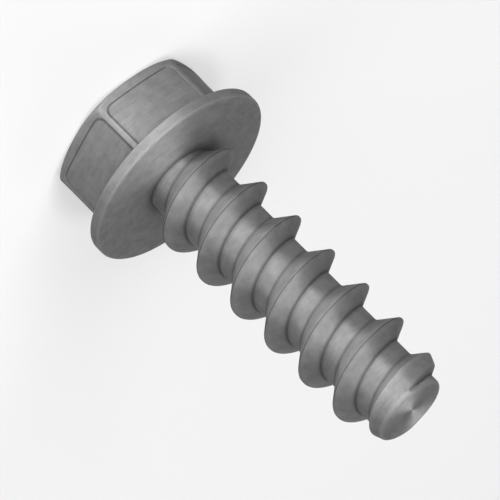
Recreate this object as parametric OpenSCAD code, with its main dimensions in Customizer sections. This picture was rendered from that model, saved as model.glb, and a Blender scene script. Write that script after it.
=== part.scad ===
// Thread-forming screw with a hex washer head, a coarse thread up to the head and a blunt point.
// It stands on its head. The origin is the centre of the head's top, and +Z runs along the shank.
// Two corners of the hex lie on the X axis. All sizes are in millimetres.

/* [Hex head] */
// Width across the flats
across_flats = 6.2; // [6.1:0.05:6.35]
// Head height, from its top to the bearing face under the flange
head_h = 3.1; // [2.8:0.05:3.3]
// Radius of the six upright corners
corner_r = 0.33; // [0.2:0.01:0.45]
// Radius along the top edge of each flat
top_edge_r = 0.3; // [0.2:0.01:0.4]
// Radius of the flat top, from which the crown turns down to the corners
top_flat_r = 2.7; // [2.6:0.05:2.8]
// Radius of the crown
crown_r = 0.93; // [0.8:0.01:1.1]

/* [Indent in the top] */
// Diameter of the shallow indent at its mouth
indent_d = 4.4; // [4:0.1:4.6]
// Depth of the indent
indent_depth = 0.4; // [0.2:0.05:0.6]
// Lean of the indent's wall
indent_lean = 40; // [20:1:55]

/* [Flange] */
// Diameter of the washer flange
flange_d = 7.9; // [7.6:0.1:8.3]
// Thickness of the flange at its rim
rim_t = 0.45; // [0.4:0.01:0.55]
// Radius of the rim's two edges
rim_edge_r = 0.07; // [0.04:0.01:0.1]
// Slope of the flange from its rim up to the hex
flange_slope = 8; // [4:1:12]

/* [Shank] */
// Length from the bearing face to the end
shank_l = 12.7; // [9.5:0.1:19]
// Diameter of the root between the ridges
root_d = 2.75; // [2.65:0.01:2.85]

/* [Thread] */
// Diameter over the crests
major_d = 4.15; // [4.05:0.01:4.25]
// Advance of the ridge in one turn
pitch = 1.86; // [1.6:0.01:2]
// Lean of the flank that faces the head, from square to the axis
head_flank = 42; // [36:1:45]
// Lean of the flank that faces the point, from square to the axis
tip_flank = 30; // [28:1:33]
// Width of the flat along the crest
crest_w = 0.05; // [0.04:0.01:0.12]
// Radius between flank and root
root_fillet_r = 0.1; // [0.06:0.01:0.14]
// Direction, from +X, in which the crest rises out of the bearing face
rise_angle = 73.7; // [0:0.1:359]
// Angle over which the ridge grows out of the root, close to the head
run_in = 120; // [60:10:180]

/* [Point] */
// Lean of the cone that cuts the last crests down
point_lean = 22; // [18:1:26]
// Diameter of that cone at the end face
point_d = 2.92; // [2.9:0.01:3]
// Radius of the edge around the end face
end_edge_r = 0.13; // [0.08:0.01:0.2]

/* [Hidden] */
steel = [0.4, 0.4, 0.4];
over = 1;
$fn = 96;

// Each rounded top edge stands this far outside its flat, so the two meet in a fine straight line
edge_line = 0.006;
corner_steps = 8;

hex_reach = across_flats;
flat_side = (across_flats - 2 * corner_r) / sqrt(3);
root_r = root_d / 2;
major_r = major_d / 2;

// The thread's section, as pairs of distance along the axis from the crest's middle and radius
head_slope = tan(head_flank);
tip_slope = tan(tip_flank);
fillet_steps = 2;
function foot(lean) =
    let (
        fillet_turn = 90 - lean,
        flank_foot = crest_w / 2 + (major_r - root_r) * tan(lean),
        fillet_x = flank_foot + root_fillet_r * tan(fillet_turn / 2)
    )
    [for (i = [0 : fillet_steps])
        let (a = fillet_turn * i / fillet_steps)
        [fillet_x - root_fillet_r * sin(a), root_r + root_fillet_r * (1 - cos(a))]];
head_foot = foot(head_flank);
tip_foot = foot(tip_flank);
section_n = 2 * (fillet_steps + 2);
crest_near = fillet_steps + 1;
crest_far = fillet_steps + 2;

// The ridge is laid out in columns around the axis and rows along it, from inside the flange to the end
columns = 48;
start_z = head_h - rim_t / 2;
end_z = head_h + shank_l;
edge_z = end_z - end_edge_r;
first_turn = -2;
// The ridge starts to grow this many degrees before its crest's line leaves the bearing face
run_lead = 45;
turns = ceil(shank_l / pitch) + 4;
rows = turns * section_n;
edge_steps = 3;

function turn_angle(c) = 360 * c / columns;
function crest_z(c, turn) = head_h + pitch * (turn_angle(c) - rise_angle) / 360 + pitch * (turn + first_turn);

// Radius of the point's cone at a height
function cone_r(z) = point_d / 2 + (end_z - z) * tan(point_lean);

// Where the flank on either side of the crest meets the cone, or the crest's own edge above it
function near_edge(crest) =
    let (drop = cone_r(crest) - major_r - crest_w / 2 / head_slope)
    max(-head_foot[fillet_steps][0], min(-crest_w / 2, drop / (1 / head_slope + tan(point_lean))));
function far_edge(crest) =
    let (drop = major_r + crest_w / 2 / tip_slope - cone_r(crest))
    min(tip_foot[fillet_steps][0], max(crest_w / 2, drop / (1 / tip_slope - tan(point_lean))));

// Share of its full height that the ridge has reached
function grown(c, turn) =
    max(0, min(1, (turn_angle(c) + 360 * (turn + first_turn) - rise_angle + run_lead) / run_in));

// One point of the section, as height and radius, for a column and a row
function section_point(c, row) =
    let (turn = floor(row / section_n), full = full_section_point(c, turn, row % section_n))
    [full[0], root_r + (full[1] - root_r) * grown(c, turn)];
function full_section_point(c, turn, i) =
    let (crest = crest_z(c, turn))
    i < crest_near ? [crest - head_foot[i][0], head_foot[i][1]]
    : i > crest_far ? [crest + tip_foot[section_n - 1 - i][0], tip_foot[section_n - 1 - i][1]]
    : let (z = crest + (i == crest_near ? near_edge(crest) : far_edge(crest)))
      [z, min(major_r, cone_r(z))];

// The section cut at a height that lies between two rows
function cut_point(c, row, z) =
    let (a = section_point(c, row), b = section_point(c, row + 1))
    [z, a[1] + (b[1] - a[1]) * (z - a[0]) / (b[0] - a[0])];

function last_row_below(c, z, row = 0) = section_point(c, row + 1)[0] > z ? row : last_row_below(c, z, row + 1);

first_rows = [for (c = [0 : columns - 1]) last_row_below(c, start_z)];
last_rows = [for (c = [0 : columns - 1]) last_row_below(c, edge_z) + 1];

function kept_row(c, row) = max(first_rows[c], min(last_rows[c], row));
function vertex(c, row) =
    c < columns ? c * (rows + 1) + kept_row(c, row)
    : kept_row(0, row + section_n);

function around(c, point) = [point[1] * cos(turn_angle(c)), point[1] * sin(turn_angle(c)), point[0]];
function edge_point(c) = cut_point(c, last_rows[c] - 1, edge_z);

thread_points = [for (c = [0 : columns - 1], row = [0 : rows])
    row == first_rows[c] ? around(c, cut_point(c, row, start_z))
    : row == last_rows[c] ? around(c, edge_point(c))
    : around(c, section_point(c, min(row, last_rows[c])))];

// The rounded edge of the end face, in rings that follow the outline the thread has there
ring_points = [for (k = [1 : edge_steps], c = [0 : columns - 1])
    let (a = 90 * k / edge_steps, inset = end_edge_r * (1 - cos(a)))
    around(c, [k == edge_steps ? end_z : edge_z + end_edge_r * sin(a), edge_point(c)[1] - inset])];
centre_points = [[0, 0, start_z], [0, 0, end_z]];

ring_start = len(thread_points);
centre_start = ring_start + len(ring_points);
function ring_vertex(c, k) =
    k == 0 ? vertex(c % columns, rows)
    : ring_start + (k - 1) * columns + c % columns;

thread_faces = [for (c = [0 : columns - 1], row = [0 : rows - section_n - 1])
    let (
        a = vertex(c, row),
        b = vertex(c + 1, row),
        d = vertex(c + 1, row + 1),
        e = vertex(c, row + 1)
    )
    each [
        if (a != b && b != d && a != d) [a, d, b],
        if (a != d && d != e && a != e) [a, e, d]
    ]];
ring_faces = [for (k = [0 : edge_steps - 1], c = [0 : columns - 1])
    each [
        [ring_vertex(c, k), ring_vertex(c + 1, k + 1), ring_vertex(c + 1, k)],
        [ring_vertex(c, k), ring_vertex(c, k + 1), ring_vertex(c + 1, k + 1)]
    ]];
end_faces = [for (c = [0 : columns - 1])
    each [
        [centre_start, vertex(c, 0), vertex((c + 1) % columns, 0)],
        [centre_start + 1, ring_vertex(c + 1, edge_steps), ring_vertex(c, edge_steps)]
    ]];

screw();

// The whole screw, in one piece
module screw() {
    color(steel)
    union() {
        difference() {
            hex();
            indent();
        }
        flange();
        threaded_shank();
    }
}

// The hex, from its top down into the flange
module hex() {
    intersection() {
        linear_extrude(height = head_h - rim_t / 2) hex_outline();
        edged_slab();
        rotate([0, 0, 60]) edged_slab();
        rotate([0, 0, 120]) edged_slab();
        crown();
    }
}

// A hexagon with rounded corners, each an arc about a point that lies on the way to the corner
module hex_outline() {
    polygon([for (corner = [0 : 60 : 300], i = [0 : corner_steps])
        let (a = corner - 30 + 60 * i / corner_steps)
        [flat_side * cos(corner) + corner_r * cos(a), flat_side * sin(corner) + corner_r * sin(a)]]);
}

// The space between two opposite flats, with a radius along both top edges
module edged_slab() {
    half = across_flats / 2 + edge_line;
    translate([-hex_reach, 0, 0])
    rotate([90, 0, 90])
    linear_extrude(height = 2 * hex_reach)
    union() {
        translate([top_edge_r - half, 0]) square([2 * (half - top_edge_r), head_h]);
        translate([-half, top_edge_r]) square([2 * half, head_h]);
        for (side = [-1, 1])
            translate([side * (half - top_edge_r), top_edge_r])
            circle(r = top_edge_r);
    }
}

// A round body whose top turns down over the hex's corners
module crown() {
    rotate_extrude()
    intersection() {
        union() {
            square([top_flat_r, head_h]);
            translate([0, crown_r]) square([top_flat_r + crown_r, head_h]);
            translate([top_flat_r, crown_r]) circle(r = crown_r);
        }
        square([hex_reach, head_h]);
    }
}

// The shallow round indent that cold forming leaves in the head's top
module indent() {
    mouth_r = indent_d / 2;
    rotate_extrude()
    polygon([
        [0, -over],
        [mouth_r + over * tan(indent_lean), -over],
        [mouth_r - indent_depth * tan(indent_lean), indent_depth],
        [0, indent_depth]
    ]);
}

// The washer flange: a flat bearing face, a plain rim with broken edges and a gentle slope to the hex
module flange() {
    flange_r = flange_d / 2;
    flat_r = flange_r - rim_edge_r;
    rim_top = head_h - rim_t;
    rotate_extrude()
    union() {
        polygon([
            [0, head_h],
            [flat_r, head_h],
            [flat_r, rim_top],
            [0, rim_top - flat_r * tan(flange_slope)]
        ]);
        translate([0, rim_top + rim_edge_r]) square([flange_r, rim_t - 2 * rim_edge_r]);
        intersection() {
            for (z = [rim_top + rim_edge_r, head_h - rim_edge_r])
                translate([flat_r, z])
                circle(r = rim_edge_r);
            square([flange_r + over, head_h]);
        }
    }
}

// Core and ridge together, as one closed surface from inside the flange to the end face
module threaded_shank() {
    polyhedron(
        points = concat(thread_points, ring_points, centre_points),
        faces = concat(thread_faces, ring_faces, end_faces)
    );
}
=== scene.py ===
import math

import bpy
import numpy as np
from mathutils import Matrix, Vector


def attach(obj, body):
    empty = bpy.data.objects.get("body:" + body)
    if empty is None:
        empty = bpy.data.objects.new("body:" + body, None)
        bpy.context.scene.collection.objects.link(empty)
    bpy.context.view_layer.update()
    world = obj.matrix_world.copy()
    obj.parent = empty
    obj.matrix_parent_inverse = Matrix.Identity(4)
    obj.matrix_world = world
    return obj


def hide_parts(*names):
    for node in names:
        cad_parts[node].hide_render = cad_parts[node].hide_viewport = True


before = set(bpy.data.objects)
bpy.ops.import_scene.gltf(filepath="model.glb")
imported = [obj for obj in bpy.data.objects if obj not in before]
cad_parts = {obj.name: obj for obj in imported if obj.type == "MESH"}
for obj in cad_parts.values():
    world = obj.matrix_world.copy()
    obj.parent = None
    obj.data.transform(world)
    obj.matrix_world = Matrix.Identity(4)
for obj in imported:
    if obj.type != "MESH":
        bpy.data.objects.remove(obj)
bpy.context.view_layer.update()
mm = 0.001
print("frame loaded")


def addNode(tree, kind, inputs, **settings):
    # one node with its settings; an input takes a value, a node's first output or a socket
    node = tree.nodes.new(kind)
    for name, value in settings.items():
        setattr(node, name, value)
    for name, value in inputs.items():
        if isinstance(value, bpy.types.Node):
            value = value.outputs[0]
        if isinstance(value, bpy.types.NodeSocket):
            tree.links.new(value, node.inputs[name])
        else:
            node.inputs[name].default_value = value
    return node


def emptyTree(owner):
    # the node tree of a material or a world, without the nodes it starts with
    owner.use_nodes = True
    owner.node_tree.nodes.clear()
    return owner.node_tree


def addObject(name, data):
    made = bpy.data.objects.new(name, data)
    bpy.context.scene.collection.objects.link(made)
    return made


def linearColour(hexColour):
    parts = [int(hexColour[i:i + 2], 16) / 255 for i in (1, 3, 5)]
    return [c / 12.92 if c <= 0.04045 else ((c + 0.055) / 1.055) ** 2.4 for c in parts] + [1]


def lookMatrix(target, azimuth, elevation, distance, roll=0):
    # stands at that direction from the target and looks at it; azimuth 0 looks along +Y
    a, e = math.radians(azimuth), math.radians(elevation)
    back = Vector((math.sin(a) * math.cos(e), -math.cos(a) * math.cos(e), math.sin(e)))
    right = Vector((math.cos(a), math.sin(a), 0))
    turn = Matrix((right, back.cross(right), back)).transposed().to_4x4()
    stand = Matrix.Translation(Vector(target) + back * distance)
    return stand @ turn @ Matrix.Rotation(math.radians(roll), 4, "Z")


# Camera at the picture's angle: long lens, the shank pointing to the lower right

cameraPlace = {
    "azimuth": 24.4, "elevation": 22, "roll": 135, "distance": 0.2013,
    "lens": 400, "sensorWidth": 36, "clipStart": 0.01,
    "aimHeight": 7.037, "aimAside": 0.051,  # mm, from the floor and from the screw's axis
}

camera = addObject("camera", bpy.data.cameras.new("camera"))
camera.data.lens = cameraPlace["lens"]
camera.data.sensor_width = cameraPlace["sensorWidth"]
camera.data.clip_start = cameraPlace["clipStart"]
aside, up = Vector((cameraPlace["aimAside"], 0, 0)), Vector((0, 0, cameraPlace["aimHeight"]))
aim = Matrix.Rotation(math.radians(cameraPlace["azimuth"]), 3, "Z") @ aside + up
camera.matrix_world = lookMatrix(
    aim * mm, cameraPlace["azimuth"], cameraPlace["elevation"], cameraPlace["distance"], cameraPlace["roll"])
bpy.context.scene.camera = camera
print("camera placed")


# Cold-formed carbon steel with a black oxide skin, oiled and wiped: a dark neutral grey with a satin sheen.
# Rolling and heading dies leave fine lines round the axis, so light gathers in a band along the screw.

blackedSteel = {
    # the crease colour is painted shade for the corners and creases
    "oxide": "#6a6a6a", "thinOxide": "#747474", "paintedCreaseShade": "#3c3c3c", "rubbed": "#7e7e7e",
    "grazing": "#b0b0b0",  # oxide takes the shine off at a grazing look
    "roughness": 0.58, "roughnessSpread": 0.1, "anisotropic": 0.85, "metallic": 0.8,
    "pressedDull": 0.15,  # how much rougher the level faces are, as the die struck them
    "mottleSize": 0.45, "grainSize": 0.08,  # mm
    "dieLineWidth": 0.09,  # mm; the real lines are about 0.02, too fine to show
    "dieLineChange": 3,  # how much a line changes on its way round the axis
    "streaks": 0.07,  # how much lighter or darker than the rest a line can be
    "mottledWear": 0.5,  # how unevenly the edges are rubbed
    "rubbedEdge": (0.35, 0.95, 0.8),  # the edge attribute where rubbing starts and where it is full; how much
    "paintedCornerShade": (-0.05, -0.6, 0.75),  # the same for the painted shade that darkens the corners and creases
    "bumpHeight": 0.0022, "lineRelief": 0.8,  # mm for the grain, and the lines' height as a share of it
}


def makeBlackedSteel():
    look = blackedSteel
    material = bpy.data.materials.new("blackOxidedSteel")
    tree = emptyTree(material)
    place = addNode(tree, "ShaderNodeTexCoord", {}).outputs
    inMm = addNode(tree, "ShaderNodeMapping", {"Vector": place["Object"], "Scale": (1 / mm, 1 / mm, 1 / mm)})
    mottle = addNode(tree, "ShaderNodeTexNoise", {
        "Vector": inMm, "Scale": 1 / look["mottleSize"], "Detail": 4, "Roughness": 0.6})
    grain = addNode(tree, "ShaderNodeTexNoise", {
        "Vector": inMm, "Scale": 1 / look["grainSize"], "Detail": 3, "Roughness": 0.65})

    # die lines: a noise stretched round the axis, stacked along it on the sides and outward on the flat faces
    axes = addNode(tree, "ShaderNodeSeparateXYZ", {"Vector": inMm})
    flat = addNode(tree, "ShaderNodeVectorMath", {0: inMm, 1: (1, 1, 0)}, operation="MULTIPLY")
    radius = addNode(tree, "ShaderNodeVectorMath", {0: flat}, operation="LENGTH").outputs["Value"]
    facing = addNode(tree, "ShaderNodeSeparateXYZ", {"Vector": place["Normal"]})
    level = addNode(tree, "ShaderNodeMath", {0: facing.outputs["Z"]}, operation="ABSOLUTE")
    along = addNode(tree, "ShaderNodeMath", {
        0: level, 1: radius, 2: axes.outputs["Z"]}, operation="MULTIPLY_ADD")
    lineStep = addNode(tree, "ShaderNodeMath", {0: along, 1: 1 / look["dieLineWidth"]}, operation="MULTIPLY")
    outward = addNode(tree, "ShaderNodeVectorMath", {0: flat}, operation="NORMALIZE")
    lineUp = addNode(tree, "ShaderNodeCombineXYZ", {"Z": lineStep})
    linePlace = addNode(tree, "ShaderNodeVectorMath", {
        0: outward, 1: [look["dieLineChange"]] * 3, 2: lineUp}, operation="MULTIPLY_ADD")
    lines = addNode(tree, "ShaderNodeTexNoise", {
        "Vector": linePlace, "Scale": 1, "Detail": 2, "Roughness": 0.5})

    # rubbed bare on the sharp edges; painted shade darkens the corners and creases where the steel turns
    # inward
    edge = addNode(tree, "ShaderNodeAttribute", {}, attribute_name="edge").outputs["Fac"]
    wornEdge = addNode(tree, "ShaderNodeMath", {
        0: mottle, 1: look["mottledWear"], 2: edge}, operation="MULTIPLY_ADD")
    start, full, strength = look["rubbedEdge"]
    rubbed = addNode(tree, "ShaderNodeMapRange", {
        "Value": wornEdge, "From Min": start, "From Max": full, "To Min": 0, "To Max": strength})
    start, full, strength = look["paintedCornerShade"]
    cornerShadeMix = addNode(tree, "ShaderNodeMapRange", {
        "Value": edge, "From Min": start, "From Max": full, "To Min": 0, "To Max": strength})

    # a Mix node takes its two colours at inputs 6 and 7 and gives their mix at output 2
    patch = addNode(tree, "ShaderNodeMapRange", {"Value": mottle, "From Min": 0.35, "From Max": 0.65})
    skin = addNode(tree, "ShaderNodeMix", {
        "Factor": patch, 6: linearColour(look["oxide"]), 7: linearColour(look["thinOxide"])},
        data_type="RGBA")
    streak = addNode(tree, "ShaderNodeMapRange", {
        "Value": lines, "From Min": 0.3, "From Max": 0.7,
        "To Min": 1 - look["streaks"], "To Max": 1 + look["streaks"]})
    streaked = addNode(tree, "ShaderNodeVectorMath", {0: skin.outputs[2], "Scale": streak}, operation="SCALE")
    # painted shade: the crease colour mixed in where the steel turns inward
    creaseShaded = addNode(tree, "ShaderNodeMix", {
        "Factor": cornerShadeMix, 6: streaked.outputs[0], 7: linearColour(look["paintedCreaseShade"])}, data_type="RGBA")
    colour = addNode(tree, "ShaderNodeMix", {
        "Factor": rubbed, 6: creaseShaded.outputs[2], 7: linearColour(look["rubbed"])}, data_type="RGBA")

    spread = look["roughnessSpread"] / 2
    roughness = addNode(tree, "ShaderNodeMapRange", {
        "Value": grain, "From Min": 0.3, "From Max": 0.7,
        "To Min": look["roughness"] - spread, "To Max": look["roughness"] + spread})
    dulled = addNode(tree, "ShaderNodeMath", {
        0: level, 1: look["pressedDull"], 2: roughness}, operation="MULTIPLY_ADD")
    relief = addNode(tree, "ShaderNodeMath", {
        0: lines, 1: look["lineRelief"], 2: grain}, operation="MULTIPLY_ADD")
    bump = addNode(tree, "ShaderNodeBump", {
        "Height": relief, "Strength": 1, "Distance": look["bumpHeight"] * mm})
    grooves = addNode(tree, "ShaderNodeVectorMath", {0: (0, 0, 1), 1: outward}, operation="CROSS_PRODUCT")
    steel = addNode(tree, "ShaderNodeBsdfPrincipled", {
        "Base Color": colour.outputs[2], "Metallic": look["metallic"], "Roughness": dulled,
        "Specular Tint": linearColour(look["grazing"]),
        "Anisotropic": look["anisotropic"], "Anisotropic Rotation": 0.25,  # light spreads across the lines
        "Tangent": grooves, "Normal": bump})
    addNode(tree, "ShaderNodeOutputMaterial", {"Surface": steel})
    return material


steelFinish = makeBlackedSteel()
print("steel finish made")


# The screw's sizes in mm and degrees. Each dictionary begins with the solid's own sizes, and those after them
# are of finer forms that only this script has.

hexHead = {
    "acrossFlats": 6.2, "height": 3.1, "cornerRadius": 0.33, "topEdgeRadius": 0.3,
    "flatTopRadius": 2.7, "crownRadius": 0.93,
    "indentRadius": 2.2, "indentDepth": 0.4, "indentLean": 40,
    "indentFloorEdge": 0.35, "indentMouthEdge": 0.14,  # radii of the indent's two edges
    "flatTop": 0.46, "flatCornerRadius": 0.4,  # where a flat ends near the head's top, and its corners there
    "flatDepth": 0.02, "flatStep": 0.045,  # each flat lies a hair behind its rounded border
    "flatBulge": 0.11,  # how far a flat's two ends lie behind its middle
    "crownBlend": 0.08,  # softness of the line between crown and flat
    "blendStart": 2.8, "blendOver": 0.3,  # the radius where it sets in, and the way over which it grows
}
flange = {
    "diameter": 7.9, "rim": 0.45, "edgeRadius": 0.07, "slope": 8,
    "slopeEdge": 1.1,  # the rim's edge on the slope's side is softer by this factor
    "hexFillet": 0.12,  # between the hex and the slope
}
thread = {
    "length": 12.7, "rootDiameter": 2.75, "majorDiameter": 4.15, "pitch": 1.86,
    "headFlank": 42, "tipFlank": 30,  # lean of the ridge's two flanks, from square to the axis
    "crestWidth": 0.05,
    "riseAngle": 73.7, "runLead": 45, "runIn": 120,  # where the ridge leaves the head, and how it grows there
    "seamDepth": 0.012,  # along the crest, where rolling folds the flanks together
    "crestSoftness": 0.025, "rootSoftness": 0.11, "pointSoftness": 0.04,  # how widely each turn is rounded
    "headFillet": 0.05,  # between the bearing face and the shank
}
point = {"lean": 22, "diameter": 2.92, "edgeRadius": 0.13}

columns = 192  # points round the axis in every ring of the screw


# The thread: a grid, one turn of ridge per length of grid, wrapped round the axis and cut off at both ends

rowsTo = (3, 8, 12, 15)  # the grid's rows from mid crest to its edge, the fillet, the root and half a pitch
turnsBelow = 2  # whole turns of the grid that lie below the bearing face
majorRadius, rootRadius = thread["majorDiameter"] / 2, thread["rootDiameter"] / 2
endHeight = hexHead["height"] + thread["length"]
pointSlope = math.tan(math.radians(point["lean"]))
ridgeStart = turnsBelow + (thread["riseAngle"] - thread["runLead"]) / 360  # in turns from the grid's start
threadInputs = {
    "Turns": 10,
    "Columns Per Turn": columns,
    "Rows": 2 * rowsTo[-1] + 1,
    "Pitch": thread["pitch"],
    "First Crest Height": hexHead["height"] - thread["pitch"] * (turnsBelow + thread["riseAngle"] / 360),
    "Ridge Start": ridgeStart,
    "Ridge Full": ridgeStart + thread["runIn"] / 360,
    "Start Height": hexHead["height"] + thread["headFillet"],
    "Stop Height": endHeight - point["edgeRadius"],
    "Major Radius": majorRadius,
    "Root Radius": rootRadius,
    "Head Flank Rise": 1 / math.tan(math.radians(thread["headFlank"])),
    "Tip Flank Rise": 1 / math.tan(math.radians(thread["tipFlank"])),
    "Half Crest": thread["crestWidth"] / 2,
    "Crest Softness": thread["crestSoftness"],
    "Seam Depth": thread["seamDepth"],
    "Root Softness": thread["rootSoftness"],
    "Point Slope": pointSlope,
    "Point Reach": point["diameter"] / 2 + endHeight * pointSlope,
    "Point Softness": thread["pointSoftness"],
    "Weld Distance": 0.0005,
}


def flankRise(tree, size, side):
    # how steeply the flank on that side of the crest rises from the axis's direction; side is -1 or 1
    return addNode(tree, "ShaderNodeMapRange", {
        "Value": side, "From Min": -1, "From Max": 1,
        "To Min": size["Head Flank Rise"], "To Max": size["Tip Flank Rise"]})


def coneRadius(tree, size, height):
    # radius of the point's cone at that height
    drop = addNode(tree, "ShaderNodeMath", {0: height, 1: size["Point Slope"]}, operation="MULTIPLY")
    return addNode(tree, "ShaderNodeMath", {0: size["Point Reach"], 1: drop}, operation="SUBTRACT")


def rowHeight(tree, size, crest, fromCrest):
    # the rows run from -1 to 1 across the ridge and gather at the crest's edge and in the flank's fillet
    across = addNode(tree, "ShaderNodeMath", {0: fromCrest}, operation="ABSOLUTE")
    side = addNode(tree, "ShaderNodeMath", {0: fromCrest}, operation="SIGN")
    rise = flankRise(tree, size, side)
    flankTop = addNode(tree, "ShaderNodeMath", {
        0: size["Half Crest"], 1: rise, 2: size["Major Radius"]}, operation="MULTIPLY_ADD")
    cone = coneRadius(tree, size, crest)
    overCone = addNode(tree, "ShaderNodeMath", {0: flankTop, 1: cone}, operation="SUBTRACT")
    leanIn = addNode(tree, "ShaderNodeMath", {0: side, 1: size["Point Slope"]}, operation="MULTIPLY")
    steepness = addNode(tree, "ShaderNodeMath", {0: rise, 1: leanIn}, operation="SUBTRACT")
    cutEdge = addNode(tree, "ShaderNodeMath", {0: overCone, 1: steepness}, operation="DIVIDE")
    overFoot = addNode(tree, "ShaderNodeMath", {0: flankTop, 1: size["Root Radius"]}, operation="SUBTRACT")
    foot = addNode(tree, "ShaderNodeMath", {0: overFoot, 1: rise}, operation="DIVIDE")
    footZone = addNode(tree, "ShaderNodeMath", {0: size["Root Softness"], 1: rise}, operation="DIVIDE")
    footStart = addNode(tree, "ShaderNodeMath", {0: foot, 1: footZone}, operation="SUBTRACT")
    footEnd = addNode(tree, "ShaderNodeMath", {0: foot, 1: footZone}, operation="ADD")
    wideEdge = addNode(tree, "ShaderNodeMath", {0: cutEdge, 1: size["Half Crest"]}, operation="MAXIMUM")
    crestEdge = addNode(tree, "ShaderNodeMath", {0: wideEdge, 1: footStart}, operation="MINIMUM")
    halfPitch = addNode(tree, "ShaderNodeMath", {0: size["Pitch"], 1: 0.5}, operation="MULTIPLY")
    reached, last, offset = 0, 0, 0
    for rows, end in zip(rowsTo, (crestEdge, footStart, footEnd, halfPitch)):
        share = rows / rowsTo[-1]
        width = addNode(tree, "ShaderNodeMath", {0: end, 1: last}, operation="SUBTRACT")
        step = addNode(tree, "ShaderNodeMapRange", {
            "Value": across, "From Min": reached, "From Max": share, "To Min": 0, "To Max": width})
        offset = addNode(tree, "ShaderNodeMath", {0: offset, 1: step}, operation="ADD")
        reached, last = share, end
    uncut = addNode(tree, "ShaderNodeMath", {0: side, 1: offset, 2: crest}, operation="MULTIPLY_ADD")
    return addNode(tree, "ShaderNodeClamp", {
        "Value": uncut, "Min": size["Start Height"], "Max": size["Stop Height"]})


def threadRadius(tree, size, turn, crest, height):
    # the section at that height: crest, flank, fillet and root
    toCrest = addNode(tree, "ShaderNodeMath", {0: height, 1: crest}, operation="SUBTRACT")
    halfPitch = addNode(tree, "ShaderNodeMath", {0: size["Pitch"], 1: 0.5}, operation="MULTIPLY")
    backHalf = addNode(tree, "ShaderNodeMath", {0: halfPitch, 1: -1}, operation="MULTIPLY")
    wrapped = addNode(tree, "ShaderNodeMath", {0: toCrest, 1: halfPitch, 2: backHalf}, operation="WRAP")
    away = addNode(tree, "ShaderNodeMath", {0: wrapped}, operation="ABSOLUTE")
    inside = addNode(tree, "ShaderNodeMath", {0: size["Half Crest"], 1: away}, operation="SUBTRACT")
    rise = flankRise(tree, size, addNode(tree, "ShaderNodeMath", {0: wrapped}, operation="SIGN"))
    flank = addNode(tree, "ShaderNodeMath", {
        0: inside, 1: rise, 2: size["Major Radius"]}, operation="MULTIPLY_ADD")
    ridge = addNode(tree, "ShaderNodeMath", {
        0: flank, 1: size["Major Radius"], 2: size["Crest Softness"]}, operation="SMOOTH_MIN")
    seam = addNode(tree, "ShaderNodeMapRange", {
        "Value": inside, "From Min": 0, "From Max": size["Half Crest"],
        "To Min": 0, "To Max": size["Seam Depth"]})
    seamed = addNode(tree, "ShaderNodeMath", {0: ridge, 1: seam}, operation="SUBTRACT")
    full = addNode(tree, "ShaderNodeMath", {
        0: seamed, 1: size["Root Radius"], 2: size["Root Softness"]}, operation="SMOOTH_MAX")

    # close to the head the ridge grows out of the root, and the point's cone cuts the last crests down
    skipped = addNode(tree, "ShaderNodeMath", {0: toCrest, 1: wrapped}, operation="SUBTRACT")
    turnsOn = addNode(tree, "ShaderNodeMath", {0: skipped, 1: size["Pitch"]}, operation="DIVIDE")
    ownTurn = addNode(tree, "ShaderNodeMath", {0: turn, 1: turnsOn}, operation="ADD")
    grown = addNode(tree, "ShaderNodeMapRange", {
        "Value": ownTurn, "From Min": size["Ridge Start"], "From Max": size["Ridge Full"]})
    overRoot = addNode(tree, "ShaderNodeMath", {0: full, 1: size["Root Radius"]}, operation="SUBTRACT")
    section = addNode(tree, "ShaderNodeMath", {
        0: overRoot, 1: grown, 2: size["Root Radius"]}, operation="MULTIPLY_ADD")
    return addNode(tree, "ShaderNodeMath", {
        0: section, 1: coneRadius(tree, size, height), 2: size["Point Softness"]}, operation="SMOOTH_MIN")


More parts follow.
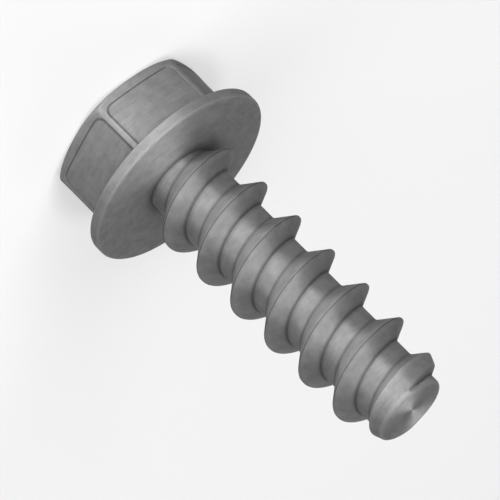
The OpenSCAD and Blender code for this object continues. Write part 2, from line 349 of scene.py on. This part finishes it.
def makeThreadTree():
    tree = bpy.data.node_groups.new("rolledThread", "GeometryNodeTree")
    for name, value in threadInputs.items():
        kind = "NodeSocketInt" if isinstance(value, int) else "NodeSocketFloat"
        tree.interface.new_socket(name, in_out="INPUT", socket_type=kind)
    tree.interface.new_socket("Geometry", in_out="OUTPUT", socket_type="NodeSocketGeometry")
    size = addNode(tree, "NodeGroupInput", {}).outputs

    # where each point of the grid lies along the ridge and across it
    gridColumns = addNode(tree, "ShaderNodeMath", {
        0: size["Turns"], 1: size["Columns Per Turn"], 2: 1}, operation="MULTIPLY_ADD")
    grid = addNode(tree, "GeometryNodeMeshGrid", {
        "Size X": 1, "Size Y": 2, "Vertices X": gridColumns, "Vertices Y": size["Rows"]})
    place = addNode(tree, "ShaderNodeSeparateXYZ", {0: addNode(tree, "GeometryNodeInputPosition", {})})
    fromStart = addNode(tree, "ShaderNodeMath", {0: place.outputs["X"], 1: 0.5}, operation="ADD")
    turn = addNode(tree, "ShaderNodeMath", {0: fromStart, 1: size["Turns"]}, operation="MULTIPLY")
    angle = addNode(tree, "ShaderNodeMath", {0: turn, 1: 2 * math.pi}, operation="MULTIPLY")
    crest = addNode(tree, "ShaderNodeMath", {
        0: turn, 1: size["Pitch"], 2: size["First Crest Height"]}, operation="MULTIPLY_ADD")
    height = rowHeight(tree, size, crest, place.outputs["Y"])
    radius = threadRadius(tree, size, turn, crest, height)

    # wound round the axis, turn welded to turn, and brought from millimetres to metres
    cosine = addNode(tree, "ShaderNodeMath", {0: angle}, operation="COSINE")
    sine = addNode(tree, "ShaderNodeMath", {0: angle}, operation="SINE")
    x = addNode(tree, "ShaderNodeMath", {0: cosine, 1: radius}, operation="MULTIPLY")
    y = addNode(tree, "ShaderNodeMath", {0: sine, 1: radius}, operation="MULTIPLY")
    wound = addNode(tree, "GeometryNodeSetPosition", {
        "Geometry": grid, "Position": addNode(tree, "ShaderNodeCombineXYZ", {"X": x, "Y": y, "Z": height})})
    welded = addNode(tree, "GeometryNodeMergeByDistance", {
        "Geometry": wound, "Distance": size["Weld Distance"]})
    inMetres = addNode(tree, "GeometryNodeTransform", {"Geometry": welded, "Scale": (mm, mm, mm)})
    real = addNode(tree, "GeometryNodeRealizeInstances", {"Geometry": inMetres})
    finished = addNode(tree, "GeometryNodeSetMaterial", {"Geometry": real, "Material": steelFinish})
    addNode(tree, "NodeGroupOutput", {"Geometry": finished})
    return tree


def makeThread():
    holder = addObject("threadHolder", bpy.data.meshes.new("threadHolder"))
    modifier = holder.modifiers.new("thread", "NODES")
    modifier.node_group = makeThreadTree()
    for item in modifier.node_group.interface.items_tree:
        if item.in_out == "INPUT":
            modifier[item.identifier] = threadInputs[item.name]
    bpy.context.view_layer.update()
    evaluated = holder.evaluated_get(bpy.context.evaluated_depsgraph_get())
    mesh = bpy.data.meshes.new_from_object(evaluated)
    holder.modifiers.remove(modifier)
    bpy.data.objects.remove(holder)
    return mesh


def readArray(items, name, width, kind=float):
    values = np.empty(len(items) * width, kind)
    items.foreach_get(name, values)
    return values.reshape(-1, width)


threadMesh = makeThread()
threadPoints = readArray(threadMesh.vertices, "co", 3) / mm
threadFaces = [tuple(face.vertices) for face in threadMesh.polygons]
bpy.data.meshes.remove(threadMesh)
print("thread wound:", len(threadPoints), "points")


def loopAt(height, within=3e-4):
    # the thread's open edge at that height, to within so many mm, in order round the axis
    found = np.flatnonzero(abs(threadPoints[:, 2] - height) < within)
    turned = np.arctan2(threadPoints[found, 1], threadPoints[found, 0]) / (2 * math.pi) * columns
    order = np.full(columns, -1)
    order[np.round(turned).astype(int) % columns] = found
    assert len(found) == columns and order.min() >= 0, "the thread's edge isn't one point a column"
    return order


# The head, in rings round the axis from the middle of the indent to the bearing face

headRows = {  # where the rings lie, closer together where the surface turns; lengths in mm
    "indentFloor": (0.3, 0.7, 1.1),  # radii
    "crown": 36,  # rays, from straight down to just short of the flats
    "flatTop": (-0.04, -0.02, 0, 0.015, 0.03, 0.045, 0.06, 0.08, 0.1, 0.13,
                0.16, 0.19, 0.23, 0.27, 0.31, 0.36, 0.44, 0.54),  # heights, from the end of the flats
    "flat": (0.25, 0.5, 0.75, 0.95),  # shares of the way on to the fillet
    "slope": (0.1, 0.3, 0.55, 0.8, 1),  # shares of the way out to the rim
    "beforeRim": 0.06,  # from the last ring on the slope to the rim's edge
    "bearingStart": 3.6,  # radius of the first ring on the bearing face
    "bearing": 10,  # steps from there in to the thread
}
insideRadius, insideHeight = 2.45, 1.1  # a circle inside the head, from which rays find its surface
rayLength, rayHalvings = 2.5, 40

evenAngle = 2 * math.pi * np.arange(columns) / columns
perSide, perCorner = columns // 6, 4  # columns for each side of the hex, and on each half of a rounded corner
crowding = 1.6  # how strongly the others draw towards the corners
halfSide = math.radians(30)  # half of a side's angle, seen from the axis
cos30, sin30 = math.cos(halfSide), 0.5
flatHalf = hexHead["acrossFlats"] / 2 - hexHead["cornerRadius"]
cornerReach = flatHalf / cos30  # from the axis to the middle of a corner's arc


def hexColumns():
    half = perSide // 2
    step = (np.arange(columns) + half) % perSide - half
    corner = (np.arange(columns) + half) // perSide * (2 * halfSide)
    arc = halfSide * np.clip(step / perCorner, -1, 1)
    radius = hexHead["cornerRadius"]
    turned = np.arctan2(radius * np.sin(arc), cornerReach + radius * np.cos(arc))
    left = np.clip((abs(step) - perCorner) / (half - perCorner), 0, 1) ** crowding
    return corner + turned + np.sign(step) * left * (halfSide - abs(turned))


hexAngle = hexColumns()


def smoothMax(a, b, width):
    width = np.maximum(width, 1e-9)  # never quite 0, as it is divided by
    return np.maximum(a, b) + np.maximum(width - abs(a - b), 0) ** 3 / width ** 2 / 6


def cornerOf(radius, angle):
    # how far a point lies along the direction of the hex's nearest corner, and square to it
    fromCorner = (angle + halfSide) % (2 * halfSide) - halfSide
    return radius * np.cos(fromCorner), abs(radius * np.sin(fromCorner))


def roundedInside(a, b, radius):
    # distance past the two edges a = 0 and b = 0 with that radius between them; negative inside
    a, b = a + radius, b + radius
    return np.minimum(np.maximum(a, b), 0) + np.hypot(np.maximum(a, 0), np.maximum(b, 0)) - radius


def outsideFlat(radius, height, angle):
    # distance past the outline of the nearest flat, measured on it; negative inside
    x, y = cornerOf(radius, angle)
    fromMiddle = abs(y * cos30 - x * sin30)
    aside, above = fromMiddle - cornerReach * sin30, hexHead["flatTop"] - height
    return roundedInside(aside, above, hexHead["flatCornerRadius"])


def outsideHead(radius, height, angle):
    # distance outside the hex with its rounded corners, top edges and crown; negative inside
    x, y = cornerOf(radius, angle)
    fromMiddle = y * cos30 - x * sin30
    toFlat = x * cos30 + y * sin30 - flatHalf
    past = y * cos30 - (x - cornerReach) * sin30 < 0
    side = np.where(past & (toFlat > 0), np.hypot(x - cornerReach, y), toFlat) - hexHead["cornerRadius"]
    side = side + hexHead["flatBulge"] * (fromMiddle / (cornerReach * sin30)) ** 2
    sunk = hexHead["flatDepth"] * np.clip(-outsideFlat(radius, height, angle) / hexHead["flatStep"], 0, 1)
    body = roundedInside(side, -height, hexHead["topEdgeRadius"]) + sunk
    out = np.maximum(radius - hexHead["flatTopRadius"], 0)
    up = np.maximum(hexHead["crownRadius"] - height, 0)
    crown = np.hypot(out, up) - hexHead["crownRadius"]
    blend = hexHead["crownBlend"] * np.clip((radius - hexHead["blendStart"]) / hexHead["blendOver"], 0, 1)
    return smoothMax(body, crown, blend)


def surfaceAt(lean):
    # where rays with that lean leave the head, as radius and height; found by halving
    low, high = np.zeros(columns), np.full(columns, rayLength)
    for _ in range(rayHalvings):
        reach = (low + high) / 2
        radius, height = insideRadius + reach * np.cos(lean), insideHeight + reach * np.sin(lean)
        outside = outsideHead(radius, height, hexAngle) > 0
        low, high = np.where(outside, low, reach), np.where(outside, reach, high)
    return insideRadius + low * np.cos(lean), insideHeight + low * np.sin(lean)


sideRadius = surfaceAt(np.zeros(columns))[0]  # of the hex's sides, in each column


def leanTo(height):
    # the rays that meet the sides at that height
    return np.arctan2(height - insideHeight, sideRadius - insideRadius)


def ring(radius, height, angle):
    # a point in each column; radius and height may be one number for all
    return np.stack((radius * np.cos(angle), radius * np.sin(angle), height + 0 * angle), 1)


def roundedPath(corners, radii, steps=5, beside=0.02):
    # points of a profile, with an arc in place of each inner corner and a close point on each side of it
    path = [np.array(corners[0], float)]
    for before, corner, after, radius in zip(corners, corners[1:], corners[2:], radii):
        corner = np.array(corner, float)
        back, on = (np.array(p, float) - corner for p in (before, after))
        back, on = back / np.linalg.norm(back), on / np.linalg.norm(on)
        half = math.acos(np.clip(back @ on, -1, 1)) / 2
        middle = corner + (back + on) / np.linalg.norm(back + on) * radius / math.sin(half)
        reach = radius / math.tan(half)
        start, end = corner + back * reach - middle, corner + on * reach - middle
        path.append(corner + back * (reach + beside))
        sweep = math.pi - 2 * half
        for i in range(steps + 1):
            t = i / steps
            turned = start * math.sin((1 - t) * sweep) + end * math.sin(t * sweep)
            path.append(middle + turned / math.sin(sweep))
        path.append(corner + on * (reach + beside))
    path.append(np.array(corners[-1], float))
    return path


def bend(start, corner, end, steps):
    # a soft curve from start to end that touches both lines to the corner; each is (radius, height)
    for i in range(steps + 1):
        t = i / steps
        yield [a * (1 - t) ** 2 + b * 2 * t * (1 - t) + c * t * t for a, b, c in zip(start, corner, end)]


def indentRings():
    # from the middle of the indent out to the flat ring that the screw stands on
    depth, mouth = hexHead["indentDepth"], hexHead["indentRadius"]
    floorRadius = mouth - depth * math.tan(math.radians(hexHead["indentLean"]))
    floorRows = headRows["indentFloor"]
    dish = roundedPath(
        [(floorRows[0], depth), (floorRadius, depth), (mouth, 0), (insideRadius, 0)],
        (hexHead["indentFloorEdge"], hexHead["indentMouthEdge"]), steps=8)
    return [ring(r, depth, hexAngle) for r in floorRows] + [ring(r, z, hexAngle) for r, z in dish[1:-1]]


def crownRings():
    # over the crown and the top edges, and on past the flats' outlines
    straightDown = math.radians(-90)
    shortOfFlat, *pastFlat = headRows["flatTop"]
    lastLean = leanTo(hexHead["flatTop"] + shortOfFlat)
    shares = np.linspace(0, 1, headRows["crown"])
    leans = [straightDown + (lastLean - straightDown) * share for share in shares]
    leans += [leanTo(hexHead["flatTop"] + past) for past in pastFlat]
    return [ring(*surfaceAt(lean), hexAngle) for lean in leans] + [ring(sideRadius, insideHeight, hexAngle)]


flangeRadius = flange["diameter"] / 2
flatRadius = flangeRadius - flange["edgeRadius"]
slopeEnd = flatRadius - headRows["beforeRim"]


def slopeHeight(radius):
    # height of the flange's slope at that radius; it reaches the rim at flatRadius
    rimHeight = hexHead["height"] - flange["rim"]
    return rimHeight - (flatRadius - radius) * math.tan(math.radians(flange["slope"]))


def slopeRings():
    # along the flats, through the fillet and out over the flange, from the hex's columns to even ones
    slope = math.radians(flange["slope"])
    reach = flange["hexFillet"] * math.tan((math.radians(90) - slope) / 2)
    foot = slopeHeight(sideRadius)
    rings = []
    for share in headRows["flat"]:
        rings.append(ring(sideRadius, insideHeight + (foot - reach - insideHeight) * share, hexAngle))
    end = (sideRadius + reach * math.cos(slope), foot + reach * math.sin(slope))
    for r, z in bend((sideRadius, foot - reach), (sideRadius, foot), end, 6):
        rings.append(ring(r, z, hexAngle))
    for share in headRows["slope"]:
        r = end[0] + (slopeEnd - end[0]) * share
        rings.append(ring(r, slopeHeight(r), hexAngle + (evenAngle - hexAngle) * share))
    return rings


def bearingRings(loop):
    # round the rim, in over the bearing face and through the fillet to the thread's open edge
    face, first = hexHead["height"], headRows["bearingStart"]
    rim = roundedPath(
        [(slopeEnd, slopeHeight(slopeEnd)), (flangeRadius, slopeHeight(flangeRadius)),
         (flangeRadius, face), (first, face)],
        (flange["edgeRadius"] * flange["slopeEdge"], flange["edgeRadius"]))
    rings = [ring(r, z, evenAngle) for r, z in rim[1:]]
    loopRadius = np.hypot(loop[:, 0], loop[:, 1])
    filletRadius = loopRadius + thread["headFillet"]
    for share in np.linspace(0, 1, headRows["bearing"] + 1)[1:-1]:
        rings.append(ring(first + (filletRadius - first) * share, face, evenAngle))
    *under, _ = bend((filletRadius, face), (loopRadius, face), (loopRadius, face + thread["headFillet"]), 4)
    return rings + [ring(r, z, evenAngle) for r, z in under]


def tipRings(loop):
    # the rounded edge and the flat end, following the thread's outline there
    outline = np.hypot(loop[:, 0], loop[:, 1])
    r = point["edgeRadius"]
    rings = []
    for turn in np.radians((15, 30, 45, 60, 75, 90)):
        rings.append(ring(outline - r * (1 - math.cos(turn)), endHeight - r + r * math.sin(turn), evenAngle))
    for share in (0.98, 0.85, 0.65, 0.45, 0.25, 0.1):
        rings.append(ring((outline - r) * share, endHeight, evenAngle))
    return rings


def makeScrew():
    startLoop, endLoop = loopAt(threadInputs["Start Height"]), loopAt(threadInputs["Stop Height"])
    headPoints = indentRings() + crownRings() + slopeRings() + bearingRings(threadPoints[startLoop])
    tipPoints = tipRings(threadPoints[endLoop])
    centres = [(0, 0, hexHead["indentDepth"]), (0, 0, endHeight)]
    points = np.concatenate([threadPoints, *headPoints, *tipPoints, centres])
    dishCentre, endCentre = len(points) - 2, len(points) - 1

    # the rings' point numbers, with the thread's open edges as the last ring of the head and first of the tip
    numbers = list(np.arange(len(threadPoints), dishCentre).reshape(-1, columns))
    headLoops = numbers[:len(headPoints)] + [startLoop]
    tipLoops = [endLoop] + numbers[len(headPoints):]
    after = np.roll(np.arange(columns), -1)
    faces = list(threadFaces)
    for loops in (headLoops, tipLoops):
        for a, b in zip(loops, loops[1:]):
            faces += np.stack((a, a[after], b[after], b), 1).tolist()
    first, last = headLoops[0], tipLoops[-1]
    faces += np.stack((np.full(columns, dishCentre), first[after], first), 1).tolist()
    faces += np.stack((np.full(columns, endCentre), last, last[after]), 1).tolist()

    mesh = bpy.data.meshes.new("formedScrew")
    mesh.from_pydata((points * mm).tolist(), [], faces)
    mesh.validate()
    mesh.materials.append(steelFinish)
    mesh.shade_smooth()
    sharpFrom = 42  # degrees between two faces
    mesh.set_sharp_from_angle(angle=math.radians(sharpFrom))
    return addObject("formedScrew", mesh)


screw = makeScrew()

edgeMarks = {  # lengths in mm
    "fullCurve": 5, "smoothings": 4,  # a mark is full where the steel turns by so many radians in a mm
    "outline": 0.7, "outlineWidth": 0.03,  # painted shade, a dark line just inside each flat's outline
    "seam": 0.6, "seamHalfWidth": 0.03, "seamFade": 0.013,  # painted shade, a dark line in the seam along the crest
    "flangeGap": 0.2, "coneGap": 0.03, "rootGap": 0.25,  # where these lines stop
}


def markEdges(mesh):
    # edge: above 0 where the steel turns outward, below 0 for painted shade in a corner and in fine dark
    # lines
    place = readArray(mesh.vertices, "co", 3) / mm
    normal = readArray(mesh.vertices, "normal", 3)
    ends = readArray(mesh.edges, "vertices", 2, np.int32)
    ends = np.concatenate((ends, ends[:, ::-1]))
    step = place[ends[:, 1]] - place[ends[:, 0]]
    turning = -2 * (step * normal[ends[:, 0]]).sum(1) / np.maximum((step ** 2).sum(1), 1e-8)
    count = np.maximum(np.bincount(ends[:, 0], minlength=len(place)), 1)
    bent = np.bincount(ends[:, 0], turning, len(place)) / count / edgeMarks["fullCurve"]
    bent = np.clip(bent, -1, 1)
    for _ in range(edgeMarks["smoothings"]):
        bent = (bent + np.bincount(ends[:, 0], bent[ends[:, 1]], len(place)) / count) / 2

    # painted shade in the step round each flat, clear of the flange
    x, y, height = place.T
    radius, angle = np.hypot(x, y), np.arctan2(y, x)
    clearOfFlange = height < hexHead["height"] - flange["rim"] - edgeMarks["flangeGap"]
    onSide = (radius > hexHead["flatTopRadius"]) & clearOfFlange
    width = edgeMarks["outlineWidth"]
    line = np.exp(-((outsideFlat(radius, height, angle) + width) / width) ** 2)
    bent = bent - edgeMarks["outline"] * line * onSide

    # and painted shade in the seam along the crest, up to where the point's cone cuts it off
    pitch = thread["pitch"]
    crest = threadInputs["First Crest Height"] + pitch * angle / (2 * math.pi)
    fromCrest = abs((height - crest + pitch / 2) % pitch - pitch / 2)
    uncut = radius < threadInputs["Point Reach"] - height * pointSlope - edgeMarks["coneGap"]
    onRidge = (radius > rootRadius + edgeMarks["rootGap"]) & (height > threadInputs["Start Height"])
    seam = np.clip((edgeMarks["seamHalfWidth"] - fromCrest) / edgeMarks["seamFade"], 0, 1) * (uncut & onRidge)
    bent = bent * (1 - seam) - edgeMarks["seam"] * seam
    mesh.attributes.new("edge", "FLOAT", "POINT").data.foreach_set("value", bent.astype(np.float32))


markEdges(screw.data)
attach(screw, "root")
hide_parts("screw")
print("screw made:", len(screw.data.polygons), "faces")


# A flat sheet to stand on, a white room and soft boxes

studio = {
    "floorColour": "#a8a8a8", "floorSize": 2.0,
    "floorLift": 0.43,  # the floor's own light, which only the camera and reflections see
    "roomLight": 0.15, "roomSeen": 0.97,  # the room's strength as it lights the screw, and as it is seen
    "boxDistance": 0.5, "boxAim": 0.008,  # metres from the screw, and the height at which the boxes point
}
softBoxes = {  # azimuth from the camera's, elevation, width and height in metres, radiance
    "frontBox": (0, 18, 0.90, 0.20, 8.6),
    "frontMiddle": (0, 16, 0.45, 0.20, 4.4),
    "frontHigh": (0, 60, 0.12, 0.20, 12),
    "leftBox": (-34, 20, 0.20, 0.30, 6.2),
    "rightBox": (52, 20, 0.20, 0.30, 4.7),
    "backBox": (180, 40, 0.20, 0.20, 2.8),
}


def whereSeen(tree):
    # 1 where the camera looks, also by way of a reflection or through glass; 0 for what lights the screw
    rays = addNode(tree, "ShaderNodeLightPath", {}).outputs
    seen = addNode(tree, "ShaderNodeMath", {
        0: rays["Is Camera Ray"], 1: rays["Is Glossy Ray"]}, operation="MAXIMUM")
    return addNode(tree, "ShaderNodeMath", {0: seen, 1: rays["Is Transmission Ray"]}, operation="MAXIMUM")


def makeFloor():
    half = studio["floorSize"] / 2
    mesh = bpy.data.meshes.new("floor")
    corners = [(-half, -half, 0), (half, -half, 0), (half, half, 0), (-half, half, 0)]
    mesh.from_pydata(corners, [], [(0, 1, 2, 3)])
    # matt sheet, plain grey under the lamps; its own light brings it up to white without clipping
    material = bpy.data.materials.new("mattWhiteSheet")
    tree = emptyTree(material)
    sheet = addNode(tree, "ShaderNodeBsdfDiffuse", {"Color": linearColour(studio["floorColour"])})
    lift = addNode(tree, "ShaderNodeMath", {0: whereSeen(tree), 1: studio["floorLift"]}, operation="MULTIPLY")
    glow = addNode(tree, "ShaderNodeEmission", {"Strength": lift})
    both = addNode(tree, "ShaderNodeAddShader", {0: sheet, 1: glow})
    addNode(tree, "ShaderNodeOutputMaterial", {"Surface": both})
    mesh.materials.append(material)
    floor = addObject("floor", mesh)


def makeRoom():
    world = bpy.data.worlds.new("whiteRoom")
    tree = emptyTree(world)
    strength = addNode(tree, "ShaderNodeMapRange", {
        "Value": whereSeen(tree), "To Min": studio["roomLight"], "To Max": studio["roomSeen"]})
    light = addNode(tree, "ShaderNodeBackground", {"Color": (1, 1, 1, 1), "Strength": strength})
    addNode(tree, "ShaderNodeOutputWorld", {"Surface": light})
    bpy.context.scene.world = world


def makeSoftBoxes():
    for name, (azimuth, elevation, width, height, radiance) in softBoxes.items():
        data = bpy.data.lights.new(name, "AREA")
        data.shape = "RECTANGLE"
        data.size, data.size_y = width, height
        data.energy = radiance * math.pi * width * height
        box = addObject(name, data)
        box.visible_camera = False
        box.matrix_world = lookMatrix(
            (0, 0, studio["boxAim"]), cameraPlace["azimuth"] + azimuth, elevation, studio["boxDistance"])


makeFloor()
makeRoom()
makeSoftBoxes()
bpy.context.scene.view_settings.view_transform = "Standard"
print("studio lit")
